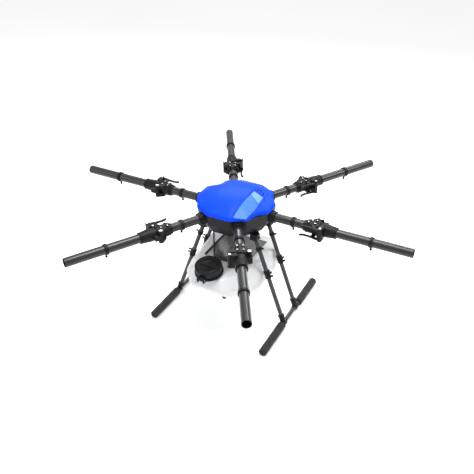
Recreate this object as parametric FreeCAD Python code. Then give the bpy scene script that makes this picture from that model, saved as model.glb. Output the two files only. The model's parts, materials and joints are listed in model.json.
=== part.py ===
import FreeCAD, Part
import math
import os

# Folding six-arm spray drone airframe with its liquid tank, in millimetres.
# +Z is up, -Y is the front. The origin is on the ground under the middle of the hub.
# Everything is laid out about the plane of the arm tubes and raised by ARM_HEIGHT when saved.

# --- driving dimensions -------------------------------------------------------
ARM_COUNT = 6
ARM_REACH = 825.0          # hub centre to the end of an arm tube
ARM_HEIGHT = 544.0         # arm plane above the ground
TUBE_RADIUS = 20.0         # 40 mm arm tube
TUBE_WALL = 2.0
SLIP = 0.1                 # gap between a tube and the bore it is glued or clamped in
SEAT_DEPTH = 0.5           # depth of the seat that the outer clip sits in
CLEARANCE = 0.3            # gap between parts that move past each other

HUB_CORNER = 186.6         # rim corner distance from the centre
HUB_CORNER_ANGLE = 12.7    # each arm axis has a rim corner this far to each side
COVER_RIM_Z = 33.0
COVER_SKIRT_Z = 47.0
SHELL_FLOOR_Z = -65.0
SHELL_WALL = 3.0
PLATE_RADIUS = 150.0
PLATE_THICK = 2.5
CLAMP_HALF_HEIGHT = 26.0

SPLIT_X = 409.0            # the plane where an arm parts when it folds
HINGE_X = 405.0
HINGE_T = 36.0
KNUCKLE_RADIUS = 11.5
KNUCKLE_HALF = 10.7        # half height of the moving knuckle
EAR_TOP = 28.0
HINGE_PIN_RADIUS = 4.0
RUNNING = 0.05             # radial gap of a pin in a turning bore

LEVER_X = 428.0
LEVER_T = -46.0
LEVER_HALF_HEIGHT = 26.0
LEVER_WINDOW = 19.0        # half height of the gap between the handle's two bars
FORK_HALF_HEIGHT = 31.0
LEVER_PIN_RADIUS = 3.0
LEVER_EYE_RADIUS = 8.5

LEG_RADIUS = 10.0
LEG_WALL = 1.5
LEG_Y = 70.0
LEG_TOP = (120.0, -50.0)   # x and z of a leg's axis at the hub
SKID_X = 291.0
SKID_Z = -525.0
SKID_HALF = 306.0
FOAM_RADIUS = 19.0
FOAM_FRONT_END = -86.5
FOAM_REAR_START = 104.0

TRAY_TOP = -222.0
TRAY_LEFT = -104.0
TRAY_FRONT = -119.0
TRAY_REAR = 111.0
TRAY_THICK = 3.0
LIP_HEIGHT = 8.0
LIP_THICK = 2.5

TANK_WALL = 4.0
CAP_RADIUS = 62.5
CAP_CENTRE = (-15.0, -243.0, -178.0)
CAP_TILT = 10.0            # the cap leans forward by this angle
CAP_HEIGHT = 32.0
CAP_HINGE = (-73.0, -24.0)  # the lid's hinge, across and along the cap's own axis

V = FreeCAD.Vector
X_AXIS = V(1, 0, 0)
Z_AXIS = V(0, 0, 1)


# --- small makers -------------------------------------------------------------
def cyl(radius, start, end):
    start = V(*start)
    along = V(*end) - start
    return Part.makeCylinder(radius, along.Length, start, along)


def tube(outer, inner, start, end):
    return cyl(outer, start, end).cut(cyl(inner, start, end))


def box(x0, x1, y0, y1, z0, z1):
    return Part.makeBox(x1 - x0, y1 - y0, z1 - z0, V(x0, y0, z0))


def cone(radius_start, radius_end, x0, x1):
    return Part.makeCone(radius_start, radius_end, x1 - x0, V(x0, 0, 0), X_AXIS)


def prism(outline, z0, z1):
    wire = Part.makePolygon([V(x, y, z0) for x, y in outline + outline[:1]])
    return Part.Face(wire).extrude(V(0, 0, z1 - z0))


def fused(first, *others):
    return first.multiFuse(list(others)).removeSplitter()


def turned(shape, angle):
    copy = shape.copy()
    copy.rotate(V(0, 0, 0), Z_AXIS, angle)
    return copy


def around(shape):
    return [turned(shape, i * 360.0 / ARM_COUNT) for i in range(ARM_COUNT)]


def both_sides(shape):
    return [shape, shape.mirror(V(0, 0, 0), X_AXIS)]


def four_corners(shape):
    pair = both_sides(shape)
    return pair + [one.mirror(V(0, 0, 0), V(0, 1, 0)) for one in pair]


def save(name, shapes):
    group = shapes if isinstance(shapes, list) else [shapes]
    solids = [solid for shape in group for solid in shape.Solids]
    for solid in solids:
        solid.translate(V(0, 0, ARM_HEIGHT))
        if not solid.isValid() or solid.Volume < 1.0:
            print("CHECK", name, solid.isValid(), round(solid.Volume, 1))
    result = solids[0] if len(solids) == 1 else Part.makeCompound(solids)
    result.exportStep("parts/" + name + ".step")
    print(name, len(solids))


def rim_outline(corner):
    """The twelve-sided plan of the hub, with a corner at each side of every arm."""
    points = []
    for arm in range(ARM_COUNT):
        for side in (-1, 1):
            angle = math.radians(arm * 360.0 / ARM_COUNT + side * HUB_CORNER_ANGLE)
            points.append((corner * math.cos(angle), corner * math.sin(angle)))
    return points


def stacked(levels):
    """A closed solid through polygons, each given as an outline and its height."""
    wires = [Part.makePolygon([V(x, y, z) for x, y in outline + outline[:1]]) for outline, z in levels]
    return Part.makeLoft(wires, True, True)


# --- hub ----------------------------------------------------------------------
COVER_LEVELS = [(1.0, COVER_RIM_Z), (0.955, COVER_SKIRT_Z), (0.90, 56.0), (0.80, 65.0),
                (0.62, 76.0), (0.40, 84.0), (0.20, 88.5), (0.05, 90.0)]
# How far out the cover's rim is half-way between two arms, from 30 degrees onwards.
COVER_WAISTS = [168.0, 178.0, 158.0, 178.0, 178.0, 162.0]
LEDGE_INNER = 150.0
LEDGE_THICK = 2.5
ARM_SOCKET_START = 152.0
ARM_SOCKET_END = 190.0
ARM_SOCKET_RADIUS = 29.0
CLAMP_START = 100.0
CLAMP_END = 148.0
CLAMP_HALF_WIDTH = 28.0
STANDOFF_RING = 95.0


def cover_outline(scale):
    """The hub's plan at a scale, with the cover's own waists between the arms."""
    points = []
    for arm, waist in enumerate(COVER_WAISTS):
        stops = ((-HUB_CORNER_ANGLE, HUB_CORNER), (HUB_CORNER_ANGLE, HUB_CORNER), (180.0 / ARM_COUNT, waist))
        for turn, radius in stops:
            angle = math.radians(arm * 360.0 / ARM_COUNT + turn)
            points.append((radius * scale * math.cos(angle), radius * scale * math.sin(angle)))
    return points


def cover_solid(inset):
    levels = [(cover_outline(scale - inset / HUB_CORNER), z - inset) for scale, z in COVER_LEVELS]
    levels[0] = (levels[0][0], COVER_RIM_Z)
    return stacked(levels)


def hub_cover():
    return cover_solid(0.0).cut(cover_solid(SHELL_WALL))


def on_dome(x0, x1, y0, y1, thickness):
    """A pad of even height that lies on the dome inside a rectangle."""
    raised = cover_solid(0.0)
    raised.translate(V(0, 0, thickness))
    pad = raised.common(box(x0, x1, y0, y1, COVER_SKIRT_Z, 100.0))
    return pad.cut(cover_solid(0.0))


def hub_shell():
    def bowl(inset):
        return stacked([(rim_outline(150.0 - inset), SHELL_FLOOR_Z + inset),
                        (rim_outline(178.0 - inset), -20.0),
                        (rim_outline(184.0 - inset), COVER_RIM_Z)])
    sockets = around(cyl(ARM_SOCKET_RADIUS, (ARM_SOCKET_START, 0, 0), (ARM_SOCKET_END, 0, 0)))
    bores = around(cyl(TUBE_RADIUS + SLIP, (ARM_SOCKET_START - 1, 0, 0), (ARM_SOCKET_END + 1, 0, 0)))
    ledge = prism(rim_outline(184.0), COVER_RIM_Z - LEDGE_THICK, COVER_RIM_Z)
    ledge = ledge.cut(prism(rim_outline(LEDGE_INNER), COVER_RIM_Z - LEDGE_THICK, COVER_RIM_Z))
    ledge = ledge.common(bowl(0.0))
    shell = bowl(0.0).cut(bowl(SHELL_WALL))
    return shell.multiFuse(sockets + [ledge]).cut(Part.makeCompound(bores))


def round_plate(z0):
    disc = Part.makeCylinder(PLATE_RADIUS, PLATE_THICK, V(0, 0, z0))
    return disc.cut(Part.makeCylinder(25.0, PLATE_THICK, V(0, 0, z0)))


def root_clamp():
    block = box(CLAMP_START, CLAMP_END, -CLAMP_HALF_WIDTH, CLAMP_HALF_WIDTH,
                -CLAMP_HALF_HEIGHT, CLAMP_HALF_HEIGHT)
    return block.cut(cyl(TUBE_RADIUS + SLIP, (CLAMP_START, 0, 0), (CLAMP_END, 0, 0)))


def standoffs():
    angle = math.radians(30.0)
    x, y = STANDOFF_RING * math.cos(angle), STANDOFF_RING * math.sin(angle)
    upper = cyl(4.0, (x, y, -CLAMP_HALF_HEIGHT), (x, y, CLAMP_HALF_HEIGHT))
    lower = cyl(4.0, (x, y, SHELL_FLOOR_Z + SHELL_WALL), (x, y, -CLAMP_HALF_HEIGHT - PLATE_THICK))
    return around(upper) + around(lower)


def power_board():
    board = box(-45, 45, -45, 45, -CLAMP_HALF_HEIGHT, -CLAMP_HALF_HEIGHT + 2)
    sockets = around(box(36, 52, -5, 5, -CLAMP_HALF_HEIGHT, -CLAMP_HALF_HEIGHT + 10))
    return fused(board, *sockets)


def flight_controller():
    low = CLAMP_HALF_HEIGHT + PLATE_THICK
    case = box(-38, 38, -26, 26, low, low + 20)
    return case.makeFillet(3.0, [edge for edge in case.Edges if abs(edge.tangentAt(0).z) > 0.9])


# --- one arm, drawn along +X and turned into place ------------------------------
BLOCK_START = 339.0
BLOCK_END = SPLIT_X - 0.2
SLEEVE_START = SPLIT_X + 0.2
SLEEVE_END = 490.0
OUTER_TUBE_START = 425.5
CLIP_X0 = 638.0
CLIP_X1 = 652.0
SEAT_X0 = 637.0
SEAT_X1 = 653.0
FLANGE_RADIUS = 33.0
BODY_RADIUS = 28.5


def inner_tube():
    return tube(TUBE_RADIUS, TUBE_RADIUS - TUBE_WALL, (CLAMP_START, 0, 0), (385.0 - SLIP, 0, 0))


def outer_tube():
    whole = tube(TUBE_RADIUS, TUBE_RADIUS - TUBE_WALL, (OUTER_TUBE_START, 0, 0), (ARM_REACH, 0, 0))
    seat = tube(TUBE_RADIUS + 1, TUBE_RADIUS - SEAT_DEPTH, (SEAT_X0, 0, 0), (SEAT_X1, 0, 0))
    return whole.cut(seat)


def ring_clip(x0, x1, bore):
    """A clip round the tube with a small foot below for a hose or a wire."""
    middle = (x0 + x1) / 2
    ring = cyl(24.0, (x0, 0, 0), (x1, 0, 0))
    foot = cyl(4.5, (middle, 0, -20), (middle, 0, -36))
    ball = Part.makeSphere(5.5, V(middle, 0, -35))
    return fused(ring, foot, ball).cut(cyl(bore, (x0, 0, 0), (x1, 0, 0)))


def socket_collar():
    return tube(27.0, TUBE_RADIUS + SLIP, (ARM_SOCKET_END + 0.2, 0, 0), (201.0, 0, 0))


def knuckle_space(z0, z1):
    return cyl(KNUCKLE_RADIUS + 0.6, (HINGE_X, HINGE_T, z0), (HINGE_X, HINGE_T, z1))


def hinge_bore():
    return cyl(HINGE_PIN_RADIUS + RUNNING, (HINGE_X, HINGE_T, -40), (HINGE_X, HINGE_T, 40))


def hinge_block():
    """The fixed half of an arm's folding joint, with two hinge ears and a catch for the lever."""
    collar = cyl(25.0, (BLOCK_START, 0, 0), (BLOCK_START + 14, 0, 0))
    body = cyl(BODY_RADIUS, (BLOCK_START + 10, 0, 0), (BLOCK_END, 0, 0))
    flange = cyl(FLANGE_RADIUS, (BLOCK_END - 5, 0, 0), (BLOCK_END, 0, 0))
    bosses = [cyl(5.5, (x, t, 12), (x, t, 29)) for x in (362, 392) for t in (-13, 13)]
    catch = box(386, 403, -38, -20, -LEVER_HALF_HEIGHT, LEVER_HALF_HEIGHT)
    catch = catch.cut(box(385, 404, -39, -19, -LEVER_WINDOW + 2, LEVER_WINDOW - 2))
    catch = catch.fuse(box(386, 403, -30, -10, -LEVER_HALF_HEIGHT, LEVER_HALF_HEIGHT))
    block = fused(collar, body, flange, catch, *bosses)
    block = block.cut(knuckle_space(-KNUCKLE_HALF - CLEARANCE, KNUCKLE_HALF + CLEARANCE))
    gusset = [(405, 47), (397, 45), (374, 26), (374, 10), (405, 10)]
    for side in (-1, 1):
        low, high = sorted((side * (KNUCKLE_HALF + CLEARANCE), side * EAR_TOP))
        ear = cyl(KNUCKLE_RADIUS, (HINGE_X, HINGE_T, low), (HINGE_X, HINGE_T, high))
        block = block.fuse(ear).fuse(prism(gusset, low, high))
    block = block.cut(hinge_bore())
    block = block.cut(cyl(TUBE_RADIUS + SLIP, (BLOCK_START, 0, 0), (385, 0, 0)))
    block = block.cut(cyl(15.0, (380, 0, 0), (BLOCK_END, 0, 0)))
    for x in (362, 392):
        for t in (-13, 13):
            block = block.cut(cyl(2.0, (x, t, 22), (x, t, 29)))
    return block.removeSplitter()


def clamp_screw(x, t):
    head = cyl(3.4, (x, t, 29), (x, t, 32)).cut(cyl(1.5, (x, t, 30.5), (x, t, 32)))
    return head.fuse(cyl(1.9, (x, t, 22.5), (x, t, 29)))


def arm_sleeve():
    """The moving half of the joint: a flange, a tapering sleeve, one knuckle and the lever's fork."""
    flange = cyl(FLANGE_RADIUS, (SLEEVE_START, 0, 0), (SLEEVE_START + 5, 0, 0))
    body = cyl(29.0, (SLEEVE_START, 0, 0), (450, 0, 0))
    taper = cone(29.0, 25.0, 450, 486)
    lip = cyl(26.5, (486, 0, 0), (SLEEVE_END, 0, 0))
    web = box(SLEEVE_START, 436, 15, HINGE_T + KNUCKLE_RADIUS, -KNUCKLE_HALF, KNUCKLE_HALF)
    arm = fused(flange, body, taper, lip)
    for side in (-1, 1):
        low, high = sorted((side * (KNUCKLE_HALF + CLEARANCE), side * 40))
        arm = arm.cut(knuckle_space(low, high))
    knuckle = cyl(KNUCKLE_RADIUS, (HINGE_X, HINGE_T, -KNUCKLE_HALF), (HINGE_X, HINGE_T, KNUCKLE_HALF))
    arm = fused(arm, web, knuckle)
    fork = box(418, 438, -40, -15, -FORK_HALF_HEIGHT, FORK_HALF_HEIGHT)
    for side in (-1, 1):
        low, high = sorted((side * (LEVER_HALF_HEIGHT + CLEARANCE), side * FORK_HALF_HEIGHT))
        prong = cyl(LEVER_EYE_RADIUS + 1, (LEVER_X, LEVER_T, low), (LEVER_X, LEVER_T, high))
        bridge = box(418.5, 437.5, LEVER_T, -39, low, high)
        fork = fused(fork, prong, bridge)
    fork = fork.cut(cyl(LEVER_EYE_RADIUS + 1.2, (LEVER_X, LEVER_T, -LEVER_HALF_HEIGHT - CLEARANCE),
                        (LEVER_X, LEVER_T, LEVER_HALF_HEIGHT + CLEARANCE)))
    arm = arm.fuse(fork)
    arm = arm.cut(hinge_bore())
    arm = arm.cut(cyl(LEVER_PIN_RADIUS + RUNNING, (LEVER_X, LEVER_T, -40), (LEVER_X, LEVER_T, 40)))
    arm = arm.cut(cyl(15.0, (SLEEVE_START, 0, 0), (430, 0, 0)))
    arm = arm.cut(cyl(TUBE_RADIUS + SLIP, (OUTER_TUBE_START - SLIP, 0, 0), (SLEEVE_END, 0, 0)))
    return arm.removeSplitter()


def hinge_pin():
    shaft = cyl(HINGE_PIN_RADIUS, (HINGE_X, HINGE_T, -EAR_TOP - 0.5), (HINGE_X, HINGE_T, EAR_TOP + 0.5))
    heads = [cyl(7.5, (HINGE_X, HINGE_T, z), (HINGE_X, HINGE_T, z + 3)) for z in (EAR_TOP, -EAR_TOP - 3)]
    return fused(shaft, *heads)


def lever_pin():
    top = FORK_HALF_HEIGHT
    shaft = cyl(LEVER_PIN_RADIUS, (LEVER_X, LEVER_T, -top - 0.5), (LEVER_X, LEVER_T, top + 0.5))
    heads = [cyl(5.0, (LEVER_X, LEVER_T, z), (LEVER_X, LEVER_T, z + 2)) for z in (top, -top - 2)]
    return fused(shaft, *heads)


# The lever's middle line from its eye to the tip, as radius along the arm, offset and half width.
LEVER_LINE = [(428, -46, 6.5), (412, -47.5, 6.5), (397, -45.5, 5.0), (383, -43.5, 4.2),
              (368, -42.5, 4.0), (354, -43, 4.0), (345, -45, 4.0), (338, -49, 3.6)]


def latch_lever():
    """A handle of two curved bars on one tall eye, each bar with a nose beside the fixed half's catch."""
    sides = ([], [])
    for i, (x, t, half) in enumerate(LEVER_LINE):
        ahead = LEVER_LINE[min(i + 1, len(LEVER_LINE) - 1)]
        behind = LEVER_LINE[max(i - 1, 0)]
        along = V(ahead[0] - behind[0], ahead[1] - behind[1], 0).normalize()
        across = V(-along.y, along.x, 0) * half
        sides[0].append(V(x, t, 0) + across)
        sides[1].append(V(x, t, 0) - across)
    curves = []
    for points in sides:
        curve = Part.BSplineCurve()
        curve.interpolate(points)
        curves.append(curve.toShape())
    ends = [Part.makeLine(sides[0][i], sides[1][i]) for i in (0, -1)]
    face = Part.Face(Part.Wire(Part.__sortEdges__(curves + ends)))
    low, high = -LEVER_HALF_HEIGHT, LEVER_HALF_HEIGHT
    handle = face.extrude(V(0, 0, high - low))
    handle.translate(V(0, 0, low))
    eye = cyl(LEVER_EYE_RADIUS, (LEVER_X, LEVER_T, low), (LEVER_X, LEVER_T, high))
    tip_x, tip_t, tip_half = LEVER_LINE[-1]
    tip = cyl(tip_half, (tip_x, tip_t, low), (tip_x, tip_t, high))
    nose = prism([(393, -46), (404, -47), (402, -38.6), (396, -38.6)], low, high)
    window = box(330, LEVER_X - LEVER_EYE_RADIUS - 3, -60, -30, -LEVER_WINDOW, LEVER_WINDOW)
    lever = fused(handle, eye, tip, nose).cut(window)
    return lever.cut(cyl(LEVER_PIN_RADIUS + RUNNING, (LEVER_X, LEVER_T, low), (LEVER_X, LEVER_T, high)))


# --- landing gear, drawn at +X +Y and mirrored ----------------------------------
LEG_RUN = (SKID_X - LEG_TOP[0]) / (LEG_TOP[1] - SKID_Z)
LEG_SLOPE = math.atan(LEG_RUN)
BRACKET_LOW = -96.0
CLIP_Z = -142.0
COUPLING_Z = -270.0
TEE_HALF = 11.5
TEE_RADIUS = 14.5
TEE_RISE = 42.0


def leg_point(z, aside=0.0):
    """A point on the leg's axis, or moved outwards at a right angle to it."""
    x = LEG_TOP[0] + LEG_RUN * (LEG_TOP[1] - z)
    return (x + aside * math.cos(LEG_SLOPE), LEG_Y, z + aside * math.sin(LEG_SLOPE))


def leg_ring(radius, z, half):
    drop = half * math.cos(LEG_SLOPE)
    return cyl(radius, leg_point(z - drop), leg_point(z + drop))


def leg_bore(z0, z1):
    return cyl(LEG_RADIUS + SLIP, leg_point(z0), leg_point(z1))


def leg_tube():
    low, high = SKID_Z + 13.0, SHELL_FLOOR_Z - 7.0
    outer = cyl(LEG_RADIUS, leg_point(low), leg_point(high))
    return outer.cut(cyl(LEG_RADIUS - LEG_WALL, leg_point(low), leg_point(high)))


def leg_bracket():
    block = box(112, 150, LEG_Y - 16, LEG_Y + 16, BRACKET_LOW, SHELL_FLOOR_Z - 0.2)
    block = block.makeFillet(4.0, [edge for edge in block.Edges if abs(edge.tangentAt(0).z) > 0.9])
    return block.cut(cyl(LEG_RADIUS + SLIP, leg_point(BRACKET_LOW - 10), leg_point(SHELL_FLOOR_Z - 7)))


def leg_clip():
    return leg_ring(13.5, CLIP_Z, 7.0).cut(leg_bore(CLIP_Z - 20, CLIP_Z + 20))


def leg_coupling():
    body = leg_ring(13.0, COUPLING_Z, 19.0)
    lips = [leg_ring(15.0, COUPLING_Z + shift, 3.5) for shift in (-14, 0, 14)]
    return fused(body, *lips).cut(leg_bore(COUPLING_Z - 40, COUPLING_Z + 40))


def thumb_screws():
    """The screws that stand out of the leg fittings, one or two to each."""
    places = [(CLIP_Z, 13.8), (COUPLING_Z + 8, 15.3), (COUPLING_Z - 9, 15.3)]
    screws = []
    for z, start in places:
        stem = cyl(2.5, leg_point(z, start), leg_point(z, start + 5))
        knob = cyl(5.0, leg_point(z, start + 4), leg_point(z, start + 10))
        screws += four_corners(fused(stem, knob))
    bracket_screw = cyl(4.5, (150.2, LEG_Y, -82), (157, LEG_Y, -82))
    return screws + four_corners(bracket_screw)


def tee_fitting():
    across = cyl(TEE_RADIUS, (SKID_X, LEG_Y - TEE_HALF, SKID_Z), (SKID_X, LEG_Y + TEE_HALF, SKID_Z))
    socket = cyl(13.5, leg_point(SKID_Z), leg_point(SKID_Z + TEE_RISE))
    lip = cyl(15.0, leg_point(SKID_Z + TEE_RISE - 6), leg_point(SKID_Z + TEE_RISE))
    tee = fused(across, socket, lip)
    tee = tee.cut(cyl(LEG_RADIUS + SLIP, leg_point(SKID_Z + 13.0), leg_point(SKID_Z + TEE_RISE + 5)))
    skid = cyl(LEG_RADIUS + SLIP, (SKID_X, LEG_Y - 40, SKID_Z), (SKID_X, LEG_Y + 40, SKID_Z))
    return tee.cut(skid)


def skid_tube():
    end = SKID_HALF - 3.0
    return tube(LEG_RADIUS, LEG_RADIUS - LEG_WALL, (SKID_X, -end, SKID_Z), (SKID_X, end, SKID_Z))


def skid_plug(y0, y1):
    return cyl(LEG_RADIUS - SLIP, (SKID_X, y0, SKID_Z), (SKID_X, y1, SKID_Z))


def foam_sleeve(y0, y1):
    solid = cyl(FOAM_RADIUS, (SKID_X, y0, SKID_Z), (SKID_X, y1, SKID_Z))
    rims = [edge for edge in solid.Edges if len(edge.Vertexes) == 1 and edge.Length > 100]
    solid = solid.makeFillet(3.0, rims)
    return solid.cut(cyl(LEG_RADIUS + SLIP, (SKID_X, y0, SKID_Z), (SKID_X, y1, SKID_Z)))


# --- battery tray -------------------------------------------------------------
POST_X = 78.0
POST_Y = 76.0
SLOT_COUNT = 6
SLOT_FRONT = -104.0
PAD_HALF_WIDTH = 66.0      # the raised pad that the battery stands on, between the posts
PAD_FRONT = -106.0
PAD_REAR = 100.0
PAD_THICK = 1.5
TRAY_OUTLINE = [(TRAY_LEFT, TRAY_FRONT), (43, TRAY_FRONT - 10), (105, -72), (110, TRAY_REAR),
                (TRAY_LEFT, TRAY_REAR)]


def battery_tray():
    plate = prism(TRAY_OUTLINE, TRAY_TOP - TRAY_THICK, TRAY_TOP)
    lip = box(TRAY_LEFT, TRAY_LEFT + LIP_THICK, TRAY_FRONT, TRAY_REAR,
              TRAY_TOP - TRAY_THICK, TRAY_TOP + LIP_HEIGHT)
    pad = box(-PAD_HALF_WIDTH, PAD_HALF_WIDTH, PAD_FRONT, PAD_REAR, TRAY_TOP, TRAY_TOP + PAD_THICK)
    tray = fused(plate, lip, pad)
    for i in range(SLOT_COUNT):
        y = SLOT_FRONT + i * 10
        tray = tray.cut(box(-6, 10, y, y + 5, TRAY_TOP - 10, TRAY_TOP + 5))
    return tray


def tray_post():
    return cyl(4.0, (POST_X, POST_Y, TRAY_TOP), (POST_X, POST_Y, SHELL_FLOOR_Z))


# --- tank ---------------------------------------------------------------------
# Each level of the tank is half of a plan, from the front to the rear, at a height.
TANK_TOP_Z = TRAY_TOP - TRAY_THICK - 0.2
TANK_LEVELS = [
    ([(62, -262), (112, -195), (133, -108), (172, 64), (130, 165)], TANK_TOP_Z),
    ([(85, -297), (155, -212), (178, -125), (178, 125), (125, 190)], -272.0),
    ([(75, -228), (146, -170), (172, -100), (172, 110), (115, 150)], -345.0),
]


def plan(half, inset):
    """Mirror a half plan and move it inwards by the wall."""
    right = []
    for x, y in half:
        right.append((x - inset, y + math.copysign(inset, -y)))
    return right + [(-x, y) for x, y in reversed(right)]


def tank_body(inset):
    tops = [inset, 0.0, -inset]
    levels = [(plan(half, inset), z - shift) for (half, z), shift in zip(TANK_LEVELS, tops)]
    return stacked(levels)


def capwise(shape):
    """Move a piece from the cap's own frame, whose origin is its top centre, into place."""
    copy = shape.copy()
    copy.rotate(V(0, 0, 0), X_AXIS, CAP_TILT)
    copy.translate(V(*CAP_CENTRE))
    return copy


NECK_OUTER = 55.0
NECK_UPPER = 53.0          # above the ring the neck is slimmer, so that the lid can swing
NECK_BORE = 48.0
NECK_TOP = -12.0
NECK_BASE = -62.0
RING_TOP = -CAP_HEIGHT - 0.2
HINGE_RADIUS = 8.0
HINGE_HALF = 11.7
EAR_OUTER = 18.0


def up(radius, z0, z1):
    return cyl(radius, (0, 0, z0), (0, 0, z1))


def tank():
    neck = capwise(fused(up(NECK_OUTER, NECK_BASE, RING_TOP), up(NECK_UPPER, RING_TOP, NECK_TOP)))
    bore = capwise(up(NECK_BORE, NECK_BASE - 10, NECK_TOP + 1))
    hollow = tank_body(TANK_WALL)
    drain = cyl(8.0, (45, -205, -350), (45, -205, -335))
    shell = tank_body(0.0).fuse(neck).cut(hollow).cut(bore)
    return shell.cut(drain)


def on_hinge_line(radius, x0, x1):
    y, z = CAP_HINGE
    return cyl(radius, (x0, y, z), (x1, y, z))


def filler_ring():
    ring = up(66.0, RING_TOP - 7, RING_TOP)
    y, z = CAP_HINGE
    for side in (-1, 1):
        x0, x1 = sorted((side * (HINGE_HALF + CLEARANCE), side * EAR_OUTER))
        ear = on_hinge_line(HINGE_RADIUS, x0, x1)
        foot = box(x0, x1, y - HINGE_RADIUS, y + HINGE_RADIUS, RING_TOP - 7, z)
        root = box(x0, x1, y, -58, RING_TOP - 7, RING_TOP)
        ring = fused(ring, ear, foot, root)
    ring = ring.cut(up(NECK_OUTER + SLIP, RING_TOP - 8, RING_TOP + 1))
    return capwise(ring.cut(on_hinge_line(3.0 + RUNNING, -30, 30)).cut(up(CAP_RADIUS + 0.5, RING_TOP, 5)))


def tank_cap():
    """A deep lid with a dished top, a gripping rim and a hinge knuckle at the front."""
    y, z = CAP_HINGE
    lid = up(CAP_RADIUS, -CAP_HEIGHT, 0)
    rims = [edge for edge in lid.Edges if len(edge.Vertexes) == 1 and edge.BoundBox.ZMin > -1]
    lid = lid.makeFillet(2.5, rims)
    knuckle = on_hinge_line(HINGE_RADIUS, -HINGE_HALF, HINGE_HALF)
    web = box(-HINGE_HALF, HINGE_HALF, y, -55, z - 3, z + 7)
    lid = fused(lid, knuckle, web)
    lid = lid.cut(up(CAP_RADIUS - 7, -6, 1))
    lid = lid.cut(up(NECK_OUTER + 1, -CAP_HEIGHT, -9))
    grip = fused(box(-46, 46, -5, 5, -7, -1.5), up(14.0, -7, -2.5))
    lid = lid.fuse(grip)
    return capwise(lid.cut(on_hinge_line(3.0 + RUNNING, -30, 30)))


def cap_seal():
    return capwise(up(54.0, NECK_TOP + 0.1, -9).cut(up(47.0, NECK_TOP + 0.1, -9)))


def cap_hinge_pin():
    return capwise(on_hinge_line(3.0, -EAR_OUTER - 1, EAR_OUTER + 1))


def outlet_fitting():
    flange = cyl(17.0, (45, -205, -351), (45, -205, -345.2))
    barb = cyl(10.0, (45, -205, -368), (45, -205, -350))
    stem = cyl(7.9, (45, -205, -346), (45, -205, -338))
    return fused(flange, barb, stem).cut(cyl(6.0, (45, -205, -368), (45, -205, -338)))


# --- write every node -----------------------------------------------------------
def save_arms():
    for i in range(ARM_COUNT):
        angle = i * 360.0 / ARM_COUNT
        tag = "_%d" % (i + 1)
        save("arm_sleeve" + tag, turned(arm_sleeve(), angle))
        save("outer_tube" + tag, turned(outer_tube(), angle))
        save("outer_clip" + tag, turned(ring_clip(CLIP_X0, CLIP_X1, TUBE_RADIUS - SEAT_DEPTH + 0.02), angle))
        save("latch_lever" + tag, turned(latch_lever(), angle))
        save("lever_pin" + tag, turned(lever_pin(), angle))
    save("inner_tubes", around(inner_tube()))
    save("inner_tube_rings", around(ring_clip(280.0, 294.0, TUBE_RADIUS + SLIP)) + around(socket_collar()))
    save("hinge_blocks", around(hinge_block()))
    save("hinge_pins", around(hinge_pin()))
    screws = [clamp_screw(x, t) for x in (362, 392) for t in (-13, 13)]
    save("clamp_screws", [one for screw in screws for one in around(screw)])


def save_hub():
    save("hub_cover", hub_cover())
    save("cover_strip", on_dome(66, 118, -150, -3, 1.5))
    save("cover_hatch", on_dome(64, 122, 0, 58, 2.0))
    save("vent_ribs", [on_dome(x, x + 7, 62, 140, 2.0) for x in (64, 80, 96)])
    save("hub_shell", hub_shell())
    save("hub_plates", [round_plate(CLAMP_HALF_HEIGHT), round_plate(-CLAMP_HALF_HEIGHT - PLATE_THICK)])
    save("root_clamps", around(root_clamp()))
    save("plate_posts", standoffs() + four_corners(tray_post()))
    save("power_board", power_board())
    save("flight_controller", flight_controller())


def save_landing_gear():
    save("leg_brackets", four_corners(leg_bracket()))
    save("leg_tubes", four_corners(leg_tube()))
    save("leg_couplings", four_corners(leg_coupling()) + four_corners(leg_clip()))
    save("thumb_screws", thumb_screws())
    save("tee_fittings", four_corners(tee_fitting()))
    save("skid_tubes", both_sides(skid_tube()))
    end = SKID_HALF - 3.0
    save("skid_plugs", four_corners(skid_plug(end + SLIP, end + 2.5)))
    front = both_sides(foam_sleeve(-SKID_HALF, FOAM_FRONT_END))
    rear = both_sides(foam_sleeve(FOAM_REAR_START, SKID_HALF))
    save("foam_sleeves", front + rear)


def save_tank():
    save("battery_tray", battery_tray())
    save("tank", tank())
    save("filler_ring", filler_ring())
    save("tank_cap", tank_cap())
    save("cap_seal", cap_seal())
    save("cap_hinge_pin", cap_hinge_pin())
    save("outlet_fitting", outlet_fitting())


os.makedirs("parts", exist_ok=True)
save_arms()
save_hub()
save_landing_gear()
save_tank()
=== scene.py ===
import bmesh
import bpy
import json
import math
from mathutils import Matrix, Vector


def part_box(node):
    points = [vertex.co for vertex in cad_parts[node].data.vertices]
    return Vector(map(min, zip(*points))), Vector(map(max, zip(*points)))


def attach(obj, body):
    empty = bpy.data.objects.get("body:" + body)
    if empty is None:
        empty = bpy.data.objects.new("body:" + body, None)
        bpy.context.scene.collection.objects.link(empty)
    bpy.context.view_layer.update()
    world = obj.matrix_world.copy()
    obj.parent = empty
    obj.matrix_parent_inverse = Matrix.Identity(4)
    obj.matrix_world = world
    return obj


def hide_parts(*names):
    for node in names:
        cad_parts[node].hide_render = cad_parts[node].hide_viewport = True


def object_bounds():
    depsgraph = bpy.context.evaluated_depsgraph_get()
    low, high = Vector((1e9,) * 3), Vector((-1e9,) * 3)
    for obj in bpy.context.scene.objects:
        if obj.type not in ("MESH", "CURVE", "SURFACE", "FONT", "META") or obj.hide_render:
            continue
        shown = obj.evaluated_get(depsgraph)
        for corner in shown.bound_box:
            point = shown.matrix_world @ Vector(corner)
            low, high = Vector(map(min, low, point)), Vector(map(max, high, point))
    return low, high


# A folding six-arm spray drone airframe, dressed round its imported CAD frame. Units are metres.

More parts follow.
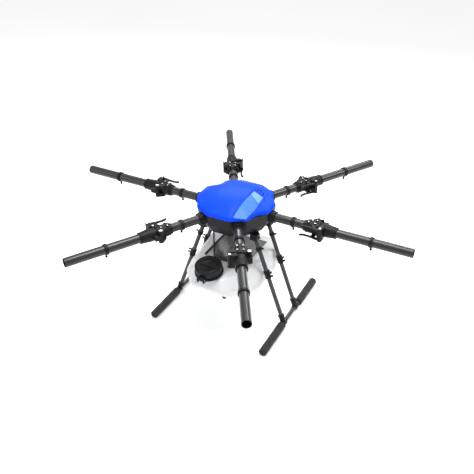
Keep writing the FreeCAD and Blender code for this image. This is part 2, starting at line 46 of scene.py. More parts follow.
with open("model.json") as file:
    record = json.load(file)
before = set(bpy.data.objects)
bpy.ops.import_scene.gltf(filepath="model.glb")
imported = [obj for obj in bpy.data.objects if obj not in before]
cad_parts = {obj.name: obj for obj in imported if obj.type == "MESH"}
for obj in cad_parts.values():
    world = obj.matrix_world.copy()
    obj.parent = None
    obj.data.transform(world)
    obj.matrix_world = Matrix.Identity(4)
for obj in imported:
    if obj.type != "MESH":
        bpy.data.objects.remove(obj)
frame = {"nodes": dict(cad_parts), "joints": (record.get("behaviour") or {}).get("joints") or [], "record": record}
CAD_BOX = [list(corner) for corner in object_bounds()]

# --- places taken from the frame ------------------------------------------------
ARM_COUNT = 6
TUBE_LOW, TUBE_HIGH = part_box("outer_tube_1")
ARM_Z = (TUBE_LOW.z + TUBE_HIGH.z) / 2
TUBE_R = (TUBE_HIGH.z - TUBE_LOW.z) / 2
REACH = TUBE_HIGH.x
OUTER_START = TUBE_LOW.x
COVER_LOW, COVER_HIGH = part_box("hub_cover")
TRAY_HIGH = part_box("battery_tray")[1]
SKID_LOW, SKID_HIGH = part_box("skid_tubes")
FOAM_LOW, FOAM_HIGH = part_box("foam_sleeves")
FLOOR_Z = CAD_BOX[0][2]
MM = 0.001

# --- camera -----------------------------------------------------------------------
CAMERA_AZIMUTH = math.radians(27.33)
CAMERA_ELEVATION = math.radians(33.06)
CAMERA_DISTANCE = 3.725 * REACH
CAMERA_LENS = 50.76
AIM_RIGHT = 0.0048 * REACH
AIM_UP = -0.167 * REACH
WORLD_LOW = 0.3
WORLD_HIGH = 0.85


def make_camera():
    az, el = CAMERA_AZIMUTH, CAMERA_ELEVATION
    back = Vector((math.sin(az) * math.cos(el), -math.cos(az) * math.cos(el), math.sin(el)))
    right = Vector((math.cos(az), math.sin(az), 0))
    up = back.cross(right)
    camera = bpy.data.objects.new("camera", bpy.data.cameras.new("camera"))
    bpy.context.scene.collection.objects.link(camera)
    camera.data.lens = CAMERA_LENS
    camera.location = (Vector((0, 0, ARM_Z)) + back * CAMERA_DISTANCE
                       + right * AIM_RIGHT + up * AIM_UP)
    camera.rotation_mode = "QUATERNION"
    camera.rotation_quaternion = (-back).to_track_quat("-Z", "Y")
    camera.data.clip_end = 50
    bpy.context.scene.camera = camera


def area_light(name, place, size, power, colour):
    data = bpy.data.lights.new(name, "AREA")
    data.shape = "RECTANGLE"
    data.size, data.size_y = size
    data.energy = power
    data.color = colour
    light = bpy.data.objects.new(name, data)
    bpy.context.scene.collection.objects.link(light)
    light.location = place
    aim = Vector((0, 0, ARM_Z)) - light.location
    light.rotation_mode = "QUATERNION"
    light.rotation_quaternion = aim.to_track_quat("-Z", "Y")


def make_studio():
    world = bpy.data.worlds.new("studio")
    world.use_nodes = True
    tree = world.node_tree
    where = tree.nodes.new("ShaderNodeTexCoord")
    parts = tree.nodes.new("ShaderNodeSeparateXYZ")
    sky = tree.nodes.new("ShaderNodeMapRange")
    sky.inputs["From Min"].default_value = -0.3
    sky.inputs["From Max"].default_value = 0.9
    sky.inputs["To Min"].default_value = WORLD_LOW
    sky.inputs["To Max"].default_value = WORLD_HIGH
    tree.links.new(where.outputs["Generated"], parts.inputs["Vector"])
    tree.links.new(parts.outputs["Z"], sky.inputs["Value"])
    tree.links.new(sky.outputs["Result"], tree.nodes["Background"].inputs["Strength"])
    tree.nodes["Background"].inputs["Color"].default_value = (1.0, 1.0, 1.0, 1)
    bpy.context.scene.world = world
    bpy.context.scene.view_settings.view_transform = "Standard"
    area_light("key", (1.5, 0.9, 2.5), (0.4, 1.8), 30, (1.0, 0.99, 0.98))
    area_light("top", (0.05, 0.0, 2.6), (1.0, 1.0), 34, (1.0, 1.0, 1.0))
    area_light("back", (-0.55, 2.6, 2.5), (3.2, 0.3), 42, (1.0, 1.0, 1.0))
    area_light("fill", (-2.2, -2.4, 1.9), (1.6, 1.6), 14, (0.97, 0.98, 1.0))


def make_floor():
    bm = bmesh.new()
    bmesh.ops.create_grid(bm, x_segments=8, y_segments=8, size=12)
    floor = mesh_object("floor", bm)
    floor.location.z = FLOOR_Z
    floor.data.materials.append(MATERIALS["floor"])


# --- materials ----------------------------------------------------------------------
class Nodes:
    """A material's node tree, with a short way to add and join nodes."""

    def __init__(self, name):
        self.material = bpy.data.materials.new(name)
        self.material.use_nodes = True
        self.tree = self.material.node_tree
        self.shader = self.tree.nodes["Principled BSDF"]

    def add(self, kind, **values):
        node = self.tree.nodes.new(kind)
        for key, value in values.items():
            if key in node.inputs:
                node.inputs[key].default_value = value
            else:
                setattr(node, key, value)
        return node

    def join(self, source, target):
        self.tree.links.new(source, target)

    def set(self, **values):
        for key, value in values.items():
            self.shader.inputs[key.replace("_", " ")].default_value = value

    def place(self):
        return self.add("ShaderNodeTexCoord").outputs["Object"]

    def surface(self):
        return self.add("ShaderNodeUVMap").outputs["UV"]

    def noise(self, where, scale, detail=3.0):
        node = self.add("ShaderNodeTexNoise", Scale=scale, Detail=detail)
        self.join(where, node.inputs["Vector"])
        return node.outputs["Fac"]

    def ramp(self, value, stops):
        node = self.add("ShaderNodeValToRGB")
        elements = node.color_ramp.elements
        while len(elements) < len(stops):
            elements.new(0.5)
        for element, (place, colour) in zip(elements, stops):
            element.position = place
            element.color = (*colour, 1)
        self.join(value, node.inputs["Fac"])
        return node.outputs["Color"]

    def spread(self, value, low, high):
        node = self.add("ShaderNodeMapRange")
        node.inputs["To Min"].default_value = low
        node.inputs["To Max"].default_value = high
        self.join(value, node.inputs["Value"])
        return node.outputs["Result"]

    def math(self, operation, first, second=None):
        node = self.add("ShaderNodeMath", operation=operation)
        for socket, value in zip(node.inputs, (first, second)):
            if isinstance(value, (int, float)):
                socket.default_value = value
            elif value is not None:
                self.join(value, socket)
        return node.outputs["Value"]

    def colour(self, value):
        self.join(value, self.shader.inputs["Base Color"])

    def rough(self, value):
        self.join(value, self.shader.inputs["Roughness"])

    def bump(self, height, strength, distance):
        node = self.add("ShaderNodeBump", Strength=strength, Distance=distance)
        self.join(height, node.inputs["Height"])
        self.join(node.outputs["Normal"], self.shader.inputs["Normal"])


def grey_stops(dark, light):
    """A ramp from a dark grey to a lighter one, each a little blue."""
    return [(0.3, (dark, dark, dark + 0.001)), (0.7, (light, light, light + 0.002))]


def weave(n, where, thread):
    """Twill cloth on a flat pair of coordinates: 0 on one set of threads and 1 on the other."""
    parts = n.add("ShaderNodeSeparateXYZ")
    n.join(where, parts.inputs["Vector"])
    across = n.math("MULTIPLY", parts.outputs["X"], 1 / thread)
    along = n.math("MULTIPLY", parts.outputs["Y"], 1 / thread)
    diagonal = n.math("ADD", n.math("FLOOR", across), n.math("FLOOR", along))
    return n.math("LESS_THAN", n.math("MODULO", n.math("ABSOLUTE", diagonal), 4.0), 2.0)


def carbon_material(name, uv, dark, light, roughness):
    n = Nodes(name)
    where = n.surface() if uv else n.place()
    cloth = weave(n, where, 2.2 * MM)
    n.colour(n.ramp(cloth, [(0.0, dark), (1.0, light)]))
    n.rough(n.spread(n.noise(where, 90), roughness - 0.06, roughness + 0.06))
    n.set(Specular_IOR_Level=0.3, Coat_Weight=0.45, Coat_Roughness=0.14)
    n.bump(cloth, 0.15, 0.1 * MM)
    return n.material


def moulded_material(name, dark, light, roughness):
    n = Nodes(name)
    where = n.place()
    n.colour(n.ramp(n.noise(where, 35), [(0.3, dark), (0.7, light)]))
    n.rough(n.spread(n.noise(where, 160), roughness - 0.07, roughness + 0.07))
    n.set(Specular_IOR_Level=0.18)
    n.bump(n.noise(where, 900, 4), 0.12, 0.3 * MM)
    return n.material


def blue_material(name, deep, bright, roughness, shine):
    n = Nodes(name)
    where = n.place()
    n.colour(n.ramp(n.noise(where, 6, 2), [(0.3, deep), (0.7, bright)]))
    n.rough(n.spread(n.noise(where, 70), roughness - 0.04, roughness + 0.05))
    n.set(Specular_IOR_Level=shine, Coat_Weight=0.04, Coat_Roughness=0.3)
    n.bump(n.noise(where, 420, 3), 0.05, 0.15 * MM)
    return n.material


def tank_material():
    n = Nodes("tank_polyethylene")
    where = n.place()
    n.colour(n.ramp(n.noise(where, 9, 4), [(0.25, (0.86, 0.88, 0.9)), (0.75, (0.95, 0.96, 0.97))]))
    n.rough(n.spread(n.noise(where, 60), 0.32, 0.46))
    n.set(Subsurface_Weight=0.35, Subsurface_Radius=(0.02, 0.02, 0.02), Transmission_Weight=0.22,
          IOR=1.3)
    n.bump(n.noise(where, 260, 3), 0.1, 0.25 * MM)
    return n.material


def metal_material():
    n = Nodes("plated_steel")
    where = n.place()
    n.colour(n.ramp(n.noise(where, 200), [(0.3, (0.5, 0.5, 0.52)), (0.7, (0.72, 0.72, 0.74))]))
    n.rough(n.spread(n.noise(where, 500), 0.22, 0.38))
    n.set(Metallic=1.0)
    n.bump(n.noise(where, 900), 0.08, 0.1 * MM)
    return n.material


def foam_material():
    n = Nodes("foam_rubber")
    where = n.place()
    cells = n.add("ShaderNodeTexVoronoi", Scale=420.0)
    n.join(where, cells.inputs["Vector"])
    n.colour(n.ramp(n.noise(where, 60, 5), grey_stops(0.012, 0.030)))
    n.rough(n.spread(n.noise(where, 120), 0.75, 0.92))
    n.bump(cells.outputs["Distance"], 0.35, 0.6 * MM)
    return n.material


def floor_material():
    n = Nodes("pale_floor")
    where = n.place()
    n.colour(n.ramp(n.noise(where, 0.5), [(0.3, (0.96, 0.96, 0.96)), (0.7, (0.98, 0.98, 0.98))]))
    n.set(Roughness=0.9, Specular_IOR_Level=0.1, Emission_Color=(1, 1, 1, 1), Emission_Strength=0.2)
    return n.material


def board_material():
    n = Nodes("circuit_board")
    where = n.place()
    tracks = weave(n, where, 3 * MM)
    n.colour(n.ramp(tracks, [(0.0, (0.01, 0.10, 0.04)), (1.0, (0.02, 0.16, 0.06))]))
    n.set(Roughness=0.4)
    n.bump(tracks, 0.2, 0.1 * MM)
    return n.material


MATERIALS = {
    "carbon_tube": carbon_material("carbon_tube", True, (0.014, 0.014, 0.015),
                                   (0.022, 0.022, 0.024), 0.36),
    "carbon_plate": carbon_material("carbon_plate", False, (0.03, 0.03, 0.031),
                                    (0.05, 0.05, 0.052), 0.42),
    "black_nylon": moulded_material("black_nylon", (0.006, 0.006, 0.007), (0.012, 0.012, 0.013), 0.42),
    "dark_shell": moulded_material("dark_shell", (0.008, 0.008, 0.010), (0.014, 0.014, 0.017), 0.42),
    "blue_shell": blue_material("blue_shell", (0.001, 0.050, 0.72), (0.002, 0.065, 0.86), 0.42, 0.08),
    "blue_panel": blue_material("blue_panel", (0.03, 0.15, 0.92), (0.05, 0.19, 1.0), 0.4, 0.2),
    # The hatch lid's lighter blue is a painted highlight.
    "hatch_painted_highlight": blue_material("hatch_painted_highlight", (0.10, 0.26, 0.92), (0.13, 0.31, 1.0), 0.4, 0.2),
    # The skirt's darker blue is painted shade: the same plastic as the shell, darkened because its sides face away
    # from the light.
    "skirt_painted_shade": blue_material("skirt_painted_shade", (0.001, 0.022, 0.38), (0.002, 0.030, 0.46), 0.42, 0.1),
    "blue_shadow": blue_material("blue_shadow", (0.001, 0.010, 0.16), (0.002, 0.014, 0.2), 0.5, 0.1),
    "steel": metal_material(),
    "foam": foam_material(),
    "tank_white": tank_material(),
    "seal_rubber": moulded_material("seal_rubber", (0.02, 0.02, 0.02), (0.04, 0.04, 0.04), 0.7),
    "circuit_board": board_material(),
    "floor": floor_material(),
}


# --- mesh makers ----------------------------------------------------------------------
def mesh_object(name, bm, sharp=35):
    bmesh.ops.recalc_face_normals(bm, faces=bm.faces)
    mesh = bpy.data.meshes.new(name)
    bm.to_mesh(mesh)
    bm.free()
    for polygon in mesh.polygons:
        polygon.use_smooth = True
    mesh.set_sharp_from_angle(angle=math.radians(sharp))
    piece = bpy.data.objects.new(name, mesh)
    bpy.context.scene.collection.objects.link(piece)
    return piece


def dress(piece, material, body):
    piece.data.materials.clear()
    piece.data.materials.append(MATERIALS[material])
    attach(piece, body)
    return piece


def lathe(name, start, end, profile, segments=72):
    """A ring or a rod round the line from start to end. The closed profile holds (along, radius)."""
    axis = (Vector(end) - Vector(start)).normalized()
    turn = axis.to_track_quat("Z", "Y").to_matrix().to_4x4()
    place = Matrix.Translation(start) @ turn
    bm = bmesh.new()
    uv = bm.loops.layers.uv.new("UVMap")
    rings = []
    for i in range(segments):
        angle = 2 * math.pi * i / segments
        rings.append([bm.verts.new(place @ Vector((r * math.cos(angle), r * math.sin(angle), along)))
                      for along, r in profile])
    count = len(profile)
    for i in range(segments):
        for k in range(count):
            corners = [(i, k), (i + 1, k), (i + 1, (k + 1) % count), (i, (k + 1) % count)]
            face = bm.faces.new([rings[a % segments][b] for a, b in corners])
            for loop, (a, b) in zip(face.loops, corners):
                loop[uv].uv = (a / segments * 2 * math.pi * TUBE_R, profile[b][0])
    return mesh_object(name, bm)


def pipe_profile(length, outer, inner, chamfer=0.6 * MM):
    return [(0, inner + chamfer), (0, outer - chamfer), (chamfer, outer), (length - chamfer, outer),
            (length, outer - chamfer), (length, inner + chamfer), (length - chamfer, inner),
            (chamfer, inner)]


def pipe(name, start, end, outer, inner):
    length = (Vector(end) - Vector(start)).length
    return lathe(name, start, end, pipe_profile(length, outer, inner), TUBE_SEGMENTS)


def arm_point(arm, along):
    """A point on the middle line of an arm, at a distance from the hub's centre."""
    angle = 2 * math.pi * arm / ARM_COUNT
    return Vector((along * math.cos(angle), along * math.sin(angle), ARM_Z))


def rounded_box(bm, spans, radius):
    """A block between the low and high ends on each axis, in metres, with rolled edges."""
    bmesh.ops.create_cube(bm, size=1)
    for vert in bm.verts:
        vert.co = Vector([low + (high - low) * (part + 0.5)
                          for part, (low, high) in zip(vert.co, spans)])
    bmesh.ops.bevel(bm, geom=list(bm.edges), offset=radius, segments=4, affect="EDGES", profile=0.6)


# --- arms -------------------------------------------------------------------------------
TUBE_WALL = 2 * MM
TUBE_SEGMENTS = 96
INNER_START = 0.100
INNER_END = 0.3849


def make_arm_tubes():
    for arm in range(ARM_COUNT):
        number = arm + 1
        outer = pipe("arm_tube_%d" % number, arm_point(arm, OUTER_START), arm_point(arm, REACH),
                     TUBE_R, TUBE_R - TUBE_WALL)
        dress(outer, "carbon_tube", "arm_%d" % number)
        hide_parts("outer_tube_%d" % number)
    for arm in range(ARM_COUNT):
        inner = pipe("root_tube_%d" % (arm + 1), arm_point(arm, INNER_START), arm_point(arm, INNER_END),
                     TUBE_R, TUBE_R - TUBE_WALL)
        dress(inner, "carbon_tube", "root")
        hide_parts("inner_tubes")


# --- landing gear -------------------------------------------------------------------------
SKID_R = (SKID_HIGH.z - SKID_LOW.z) / 2
SKID_X = SKID_HIGH.x - SKID_R
SKID_Z = (SKID_HIGH.z + SKID_LOW.z) / 2
FOAM_R = (FOAM_HIGH.z - FOAM_LOW.z) / 2
FOAM_FRONT_END = -0.0865
FOAM_REAR_START = 0.104
FOAM_ROUND = 4 * MM
FOAM_STEPS = 40
FOAM_SWELL = 0.25 * MM
FOAM_WAVE = 95.0     # radians of the swell for each metre of the sleeve


def foam_profile(length):
    """A foam sleeve's outline: rounded ends and a body that swells a little between them."""
    bore = SKID_R + 0.3 * MM
    angles = [math.pi / 2 * i / 6 for i in range(7)]
    arc = [(FOAM_ROUND * (1 - math.cos(a)), FOAM_R - FOAM_ROUND * (1 - math.sin(a))) for a in angles]
    points = [(0, bore)] + arc
    for i in range(1, FOAM_STEPS):
        along = FOAM_ROUND + (length - 2 * FOAM_ROUND) * i / FOAM_STEPS
        points.append((along, FOAM_R - FOAM_SWELL * (1 + math.sin(along * FOAM_WAVE))))
    points += [(length - along, radius) for along, radius in reversed(arc)]
    points.append((length, bore))
    return points


def make_foam():
    for side, sign in (("right", 1), ("left", -1)):
        spans = (("front", FOAM_LOW.y, FOAM_FRONT_END), ("rear", FOAM_REAR_START, FOAM_HIGH.y))
        for where, y0, y1 in spans:
            x = sign * SKID_X
            sleeve = lathe("foam_%s_%s" % (where, side), (x, y0, SKID_Z), (x, y1, SKID_Z),
                           foam_profile(y1 - y0), 64)
            dress(sleeve, "foam", "root")
            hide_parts("foam_sleeves")


# --- hub cover ------------------------------------------------------------------------------
RIM_CORNER = 0.1866
RIM_CORNER_ANGLE = math.radians(12.7)
RIM_WAISTS = [0.168, 0.178, 0.158, 0.178, 0.178, 0.162]   # half-way between the arms, from 30 degrees
RIM_ROUND = 0.178
RIM_Z = COVER_LOW.z
SKIRT_TOP = RIM_Z + 0.014
SKIRT_SHARE = 0.955
DOME_TOP = COVER_HIGH.z - 0.4 * MM
DOME_POWER = 2.4
DOME_STEPS = 360
DOME_RINGS = 110
GROOVE_HALF = 2.4 * MM
GROOVE_DEPTH = 2.6 * MM
GROOVE_FRONT, GROOVE_REAR = -0.175, 0.100
WEDGE_DEPTH = 3.2 * MM
WEDGE_FRONT, WEDGE_REAR = -0.140, 0.052
# Lines on the cover as (y, x): the bright panel's two edges, and the recess to the right of it.
PANEL_LEFT = [(-0.163, 0.067), (-0.077, 0.070), (0.000, 0.074), (0.080, 0.069)]
PANEL_RIGHT = [(-0.150, 0.121), (-0.041, 0.130), (0.040, 0.125)]
WEDGE_RIGHT = [(-0.134, 0.130), (-0.064, 0.148), (-0.010, 0.144), (0.048, 0.127)]
GROOVE_LINE = [(-0.168, 0.062), (-0.077, 0.065), (-0.010, 0.069), (0.050, 0.066), (0.100, 0.058)]


def rim_radius(angle):
    """Distance from the centre to the straight rim between the corner or waist to either side."""
    sector = 2 * math.pi / ARM_COUNT
    arm = round(angle / sector)
    turn = angle - arm * sector
    if abs(turn) <= RIM_CORNER_ANGLE:
        a, ra, b, rb = -RIM_CORNER_ANGLE, RIM_CORNER, RIM_CORNER_ANGLE, RIM_CORNER
    elif turn > 0:
        a, ra, b, rb = RIM_CORNER_ANGLE, RIM_CORNER, sector / 2, RIM_WAISTS[arm % ARM_COUNT]
    else:
        a, ra, b, rb = -sector / 2, RIM_WAISTS[(arm - 1) % ARM_COUNT], -RIM_CORNER_ANGLE, RIM_CORNER
    return ra * rb * math.sin(b - a) / (ra * math.sin(turn - a) + rb * math.sin(b - turn))


def soft_rim(angle):
    """The rim with its corners rounded off."""
    turns = [math.radians(k * 0.9) for k in range(-3, 4)]
    return sum(rim_radius(angle + turn) for turn in turns) / len(turns)


def smooth(value):
    value = max(0.0, min(1.0, value))
    return value * value * (3 - 2 * value)


def ring_radius(share, angle):
    """Rings follow the rim at the edge of the dome and turn into circles towards its middle."""
    roundness = smooth((SKIRT_SHARE - share) / 0.5)
    return share * (soft_rim(angle) * (1 - roundness) + RIM_ROUND * roundness)


def curve_through(points, value):
    """A smooth value between given (place, value) points."""
    if value <= points[0][0]:
        return points[0][1]
    for (a, va), (b, vb) in zip(points, points[1:]):
        if value <= b:
            return va + (vb - va) * smooth((value - a) / (b - a))
    return points[-1][1]


def ring_height(share):
    return SKIRT_TOP + (DOME_TOP - SKIRT_TOP) * (1 - (share / SKIRT_SHARE) ** DOME_POWER)


def dome_height(x, y):
    """Height of the plain dome over a point of the plan."""
    angle, distance = math.atan2(y, x), math.hypot(x, y)
    low, high = 0.0, SKIRT_SHARE
    for _ in range(18):
        middle = (low + high) / 2
        if ring_radius(middle, angle) < distance:
            low = middle
        else:
            high = middle
    return ring_height(low)


def recess(x, y):
    """How deep the dome is cut back at a point, for the groove and the wedge beside the panel."""
    depth = 0.0
    if GROOVE_FRONT < y < GROOVE_REAR:
        away = abs(x - curve_through(GROOVE_LINE, y))
        fade = smooth((GROOVE_REAR - y) / 0.03)
        depth = GROOVE_DEPTH * fade * smooth(1.5 - away / GROOVE_HALF)
    if WEDGE_FRONT < y < WEDGE_REAR:
        inside = min(x - curve_through(PANEL_RIGHT, y) + 1 * MM, curve_through(WEDGE_RIGHT, y) - x)
        fade = min(smooth((y - WEDGE_FRONT) / 0.02), smooth((WEDGE_REAR - y) / 0.02))
        depth = max(depth, WEDGE_DEPTH * fade * smooth(inside / (3 * MM)))
    return depth


def make_dome():
    bm = bmesh.new()
    skirt = [(0.975, RIM_Z), (1.0, RIM_Z), (1.002, RIM_Z + 1.0 * MM), (1.0, RIM_Z + 3.0 * MM)]
    skirt += [(0.968, SKIRT_TOP - 3.0 * MM), (0.962, SKIRT_TOP - 1.2 * MM),
              (SKIRT_SHARE + 0.002, SKIRT_TOP - 0.3 * MM)]
    shares = [SKIRT_SHARE * (1 - (k / DOME_RINGS)) for k in range(DOME_RINGS)]
    loops = []
    for i in range(DOME_STEPS):
        angle = 2 * math.pi * (i + 0.5) / DOME_STEPS
        edge = soft_rim(angle)
        column = [Vector((edge * s * math.cos(angle), edge * s * math.sin(angle), z)) for s, z in skirt]
        for share in shares:
            r = ring_radius(share, angle)
            x, y = r * math.cos(angle), r * math.sin(angle)
            column.append(Vector((x, y, ring_height(share) - recess(x, y))))
        loops.append([bm.verts.new(point) for point in column])
    for i in range(DOME_STEPS):
        here, there = loops[i], loops[(i + 1) % DOME_STEPS]
        for k in range(len(here) - 1):
            face = bm.faces.new([here[k], there[k], there[k + 1], here[k + 1]])
            middle = face.calc_center_median()
            # Faces deep in the groove take a very dark blue as painted shade, and the skirt's faces a darker blue
            # as painted shade.
            if recess(middle.x, middle.y) > 0.6 * GROOVE_DEPTH:
                face.material_index = 1
            elif middle.z < SKIRT_TOP - 1.5 * MM:
                face.material_index = 2
    bm.faces.new([loop[-1] for loop in loops])
    bm.faces.new([loop[0] for loop in reversed(loops)])
    dome = mesh_object("cover_dome", bm, 24)
    dress(dome, "blue_shell", "root")
    dome.data.materials.append(MATERIALS["blue_shadow"])
    dome.data.materials.append(MATERIALS["skirt_painted_shade"])
    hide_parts("hub_cover")


def dome_patch(name, place, height, material, nodes=(), across=24, along=60):
    """A closed pad on the dome. place(u, v) gives a point of its plan, and its edges are rolled."""
    bm = bmesh.new()
    top, low = [], []
    for j in range(along + 1):
        top.append([])
        low.append([])
        for i in range(across + 1):
            x, y = place(i / across, j / along)
            z = dome_height(x, y)
            lift = (0.2, 0.8, 1.0)[min(i, across - i, j, along - j, 2)]
            top[-1].append(bm.verts.new((x, y, z + height * lift)))
            low[-1].append(bm.verts.new((x, y, z - 3.4 * MM)))
    for j in range(along):
        for i in range(across):
            bm.faces.new([top[j][i], top[j][i + 1], top[j + 1][i + 1], top[j + 1][i]])
            bm.faces.new([low[j][i], low[j + 1][i], low[j + 1][i + 1], low[j][i + 1]])
    border = [(0, i) for i in range(across)] + [(j, across) for j in range(along)]
    border += [(along, i) for i in range(across, 0, -1)] + [(j, 0) for j in range(along, 0, -1)]
    for (j, i), (jj, ii) in zip(border, border[1:] + border[:1]):
        bm.faces.new([top[j][i], low[j][i], low[jj][ii], top[jj][ii]])
    patch = mesh_object(name, bm, 50)
    dress(patch, material, "root")
    if nodes:
        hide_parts(*nodes)


def mix(a, b, t):
    return a + (b - a) * t


def panel_place(front_left, front_right, rear_left, rear_right):
    """Points between the panel's two edges, from a slanting front line to a slanting rear line."""
    def place(u, v):
        y = mix(mix(front_left, front_right, u), mix(rear_left, rear_right, u), v)
        return mix(curve_through(PANEL_LEFT, y), curve_through(PANEL_RIGHT, y), u), y
    return place


def make_cover_panel():
    dome_patch("cover_panel", panel_place(-0.160, -0.146, -0.004, -0.038), 1.0 * MM,
               "blue_panel", ["cover_strip"])
    # The hatch lid takes a lighter blue as a painted highlight.
    dome_patch("cover_hatch_lid", panel_place(-0.0015, -0.0355, 0.036, 0.022), 2.0 * MM,
               "hatch_painted_highlight", ["cover_hatch"])

    def rib(left, width, y0, y1):
        return lambda u, v: (left + width * u - 0.010 * v, mix(y0, y1, v))
    spans = ((0.074, 0.040, 0.086), (0.089, 0.037, 0.082), (0.104, 0.034, 0.074))
    for number, (left, y0, y1) in enumerate(spans):
        dome_patch("vent_rib_%d" % (number + 1), rib(left, 0.008, y0, y1), 2.2 * MM,
                   "blue_shell", ["vent_ribs"], 8, 24)
        # Thin dark pads between the ribs are painted shade in the slots.
        dome_patch("vent_slot_painted_shade_%d" % (number + 1), rib(left + 0.0085, 0.006, y0, y1), 0.3 * MM,
                   "blue_shadow", (), 6, 24)


# --- the filler cap's own frame: its origin is the middle of the lid's top ---------------------
CAP_TILT = math.radians(10)
CAP_JOINT = next(joint for joint in frame["joints"] if joint["name"] == "cap_open")
CAP_HINGE = (0, -73 * MM, -24 * MM)
CAP_TURN = Matrix.Rotation(CAP_TILT, 4, "X")
CAP_PLACE = Matrix.Translation(CAP_JOINT["pos_m"]) @ CAP_TURN @ Matrix.Translation(-Vector(CAP_HINGE))


def cap_point(x, y, z):
    """A point given in the cap's frame, in millimetres."""
    return CAP_PLACE @ Vector((x * MM, y * MM, z * MM))


# --- tank -----------------------------------------------------------------------------------
# Half plans of the tank from front to rear at a depth below its top, as in the CAD solid.
TANK_TOP = ARM_Z - 0.2252
TANK_PLANS = [
    (0.0000, [(0.062, -0.262), (0.112, -0.195), (0.133, -0.108), (0.172, 0.064), (0.130, 0.165)]),
    (0.0468, [(0.085, -0.297), (0.155, -0.212), (0.178, -0.125), (0.178, 0.125), (0.125, 0.190)]),
    (0.1198, [(0.075, -0.228), (0.146, -0.170), (0.172, -0.100), (0.172, 0.110), (0.115, 0.150)]),
]
TANK_WALL = 4 * MM
TANK_ROUND = 11 * MM
NECK_BORE = 47.5 * MM
BORE_FOOT, BORE_TOP = -90, -5     # in the cap's own frame, in millimetres


def whole_plan(half, inset):
    """Both halves of a plan, moved in towards its middle."""
    right = [(x - inset, y + math.copysign(inset, -y)) for x, y in half]
    return right + [(-x, y) for x, y in reversed(right)]


def tank_skin(inset, rounding):
    bm = bmesh.new()
    sinks = (inset, 0.0, -inset)
    loops = []
    for (depth, half), sink in zip(TANK_PLANS, sinks):
        loops.append([bm.verts.new((x, y, TANK_TOP - depth - sink)) for x, y in whole_plan(half, inset)])
    count = len(loops[0])
    for upper, lower in zip(loops, loops[1:]):
        for i in range(count):
            bm.faces.new([upper[i], lower[i], lower[(i + 1) % count], upper[(i + 1) % count]])
    bm.faces.new(list(reversed(loops[0])))
    bm.faces.new(loops[-1])
    bmesh.ops.recalc_face_normals(bm, faces=bm.faces)
    bmesh.ops.bevel(bm, geom=list(bm.edges), offset=rounding, segments=5, affect="EDGES", profile=0.5,
                    clamp_overlap=True)
    return bm


def cut_by(piece, cutter):
    """Cut a piece by another and throw the cutter away."""
    change = piece.modifiers.new("cut", "BOOLEAN")
    change.operation = "DIFFERENCE"
    change.solver = "EXACT"
    change.object = cutter
    ready = piece.evaluated_get(bpy.context.evaluated_depsgraph_get())
    mesh = bpy.data.meshes.new_from_object(ready)
    piece.modifiers.clear()
    piece.data = mesh
    bpy.data.objects.remove(cutter)


def make_tank():
    tank = mesh_object("tank_body", tank_skin(0.0, TANK_ROUND), 50)
    hollow = mesh_object("tank_hollow", tank_skin(TANK_WALL, TANK_ROUND - TANK_WALL), 50)
    cut_by(tank, hollow)
    # The bore's cutter is a rod, as a lathed ring whose own hole is too thin to matter.
    length = (BORE_TOP - BORE_FOOT) * MM
    rod = [(0, 0.001 * MM), (0, NECK_BORE), (length, NECK_BORE), (length, 0.001 * MM)]
    bore = lathe("tank_bore", cap_point(0, 0, BORE_FOOT), cap_point(0, 0, BORE_TOP), rod)
    cut_by(tank, bore)
    dress(tank, "tank_white", "root")
    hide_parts("tank")


def make_neck():
    start, end = cap_point(0, 0, -62), cap_point(0, 0, -12)
    profile = [(0, 48), (0, 68), (14, 60), (22, 56), (29.5, 55), (29.8, 53)]
    for turn in range(4):
        along = 31.5 + 4.4 * turn
        profile += [(along, 52.2), (along + 1.1, 53), (along + 2.2, 53), (along + 3.3, 52.2)]
    profile += [(49.4, 52.2), (50, 51.6), (50, 48)]
    profile = [(along * MM, radius * MM) for along, radius in profile]
    neck = lathe("tank_neck", start, end, profile, 96)
    dress(neck, "tank_white", "root")


LID_STEPS = 288
KNURL_COUNT = 72
KNURL_DEPTH = 0.9    # millimetres, as every size in the cap's own frame


def cap_block(name, xs, ys, zs, radius):
    """A black block on the cap, in the cap's own frame and in millimetres."""
    bm = bmesh.new()
    rounded_box(bm, [(low * MM, high * MM) for low, high in (xs, ys, zs)], radius * MM)
    bm.transform(CAP_PLACE)
    dress(mesh_object(name, bm), "black_nylon", "cap")


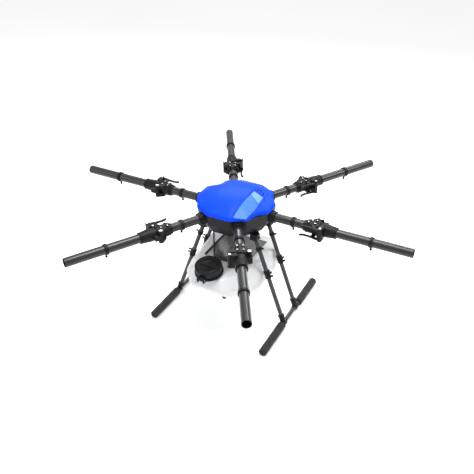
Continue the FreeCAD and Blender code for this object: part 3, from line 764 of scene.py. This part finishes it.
def make_lid():
    """The lid: a knurled skirt, a rolled rim and a dished top."""
    bm = bmesh.new()
    # Each point is (radius, height, share of the knurl's depth), in millimetres.
    column = [(56.5, -9, 0), (56.5, -31, 0), (57.5, -32, 0), (61.5, -32, 0.3), (62.5, -31, 1),
              (62.5, -8, 1), (62.4, -5, 0.3), (62.3, -3.0, 0), (61.4, -1.0, 0), (59.5, 0, 0),
              (57.5, -0.4, 0), (56.2, -2.0, 0), (55.4, -5.2, 0), (53.5, -6.2, 0), (40, -6.4, 0),
              (38, -5.6, 0), (36, -5.4, 0), (34, -6.4, 0), (10, -6.4, 0)]
    loops = []
    for i in range(LID_STEPS):
        angle = 2 * math.pi * i / LID_STEPS
        ridge = 0.5 - 0.5 * math.cos(angle * KNURL_COUNT)
        loop = []
        for r, z, share in column:
            radius = r - KNURL_DEPTH * share * (1 - ridge)
            loop.append(bm.verts.new(cap_point(radius * math.cos(angle), radius * math.sin(angle), z)))
        loops.append(loop)
    for i in range(LID_STEPS):
        here, there = loops[i], loops[(i + 1) % LID_STEPS]
        for k in range(len(column) - 1):
            bm.faces.new([here[k], there[k], there[k + 1], here[k + 1]])
    bm.faces.new([loop[-1] for loop in loops])
    bm.faces.new([loop[0] for loop in reversed(loops)])
    lid = mesh_object("cap_lid", bm, 40)
    dress(lid, "black_nylon", "cap")
    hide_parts("tank_cap")
    knuckle = lathe("cap_knuckle", cap_point(-11.7, -73, -24), cap_point(11.7, -73, -24),
                    pipe_profile(23.4 * MM, 8 * MM, 3.1 * MM, 0.8 * MM), 48)
    dress(knuckle, "black_nylon", "cap")
    cap_block("cap_web", (-11.7, 11.7), (-73, -58), (-27, -17), 1.5)
    cap_block("cap_grip", (-44, 44), (-5, 5), (-8, -1.6), 2.0)


# --- battery tray fittings ----------------------------------------------------------------------
PAD_TOP = TRAY_HIGH.z - 6.5 * MM
BRACKET_X = 0.014
BRACKET_Y = (-0.088, -0.030)
BRACKET_THICK = 3 * MM
BRACKET_FOOT = 20 * MM
BRACKET_HEIGHT = 16 * MM
SLOT_COUNT = 6
SLOT_X = (-0.008, 0.012)
SLOT_FRONT = -0.1053
SLOT_PITCH = 10 * MM
SLOT_FRAME_HALF = 1.2 * MM
SLOT_FRAME_HEIGHT = 1.8 * MM


def steel_block(name, xs, ys, height, radius):
    """A steel block that stands on the tray's pad."""
    bm = bmesh.new()
    rounded_box(bm, (xs, ys, (PAD_TOP, PAD_TOP + height)), radius)
    dress(mesh_object(name, bm), "steel", "root")


def make_tray_fittings():
    """A strap bracket, and the bright frames of the row of strap slots."""
    steel_block("strap_bracket_foot", (BRACKET_X, BRACKET_X + BRACKET_FOOT), BRACKET_Y,
                BRACKET_THICK, 0.8 * MM)
    steel_block("strap_bracket_wall", (BRACKET_X, BRACKET_X + BRACKET_THICK), BRACKET_Y,
                BRACKET_HEIGHT, 0.8 * MM)
    for number in range(SLOT_COUNT):
        y = SLOT_FRONT + SLOT_PITCH * number
        steel_block("slot_frame_%d" % (number + 1), SLOT_X, (y - SLOT_FRAME_HALF, y + SLOT_FRAME_HALF),
                    SLOT_FRAME_HEIGHT, 0.5 * MM)


# --- every CAD node that stays gets its own finish ------------------------------------------
def dress_cad_nodes():
    slots = {part["node"]: part["material_slot"] for part in frame["record"]["subparts"]}
    for name, node in frame["nodes"].items():
        node.data.materials.clear()
        node.data.materials.append(MATERIALS[slots[name]])


dress_cad_nodes()
make_camera()
make_studio()
make_floor()
make_arm_tubes()
make_foam()
make_dome()
make_cover_panel()
make_tank()
make_neck()
make_lid()
make_tray_fittings()
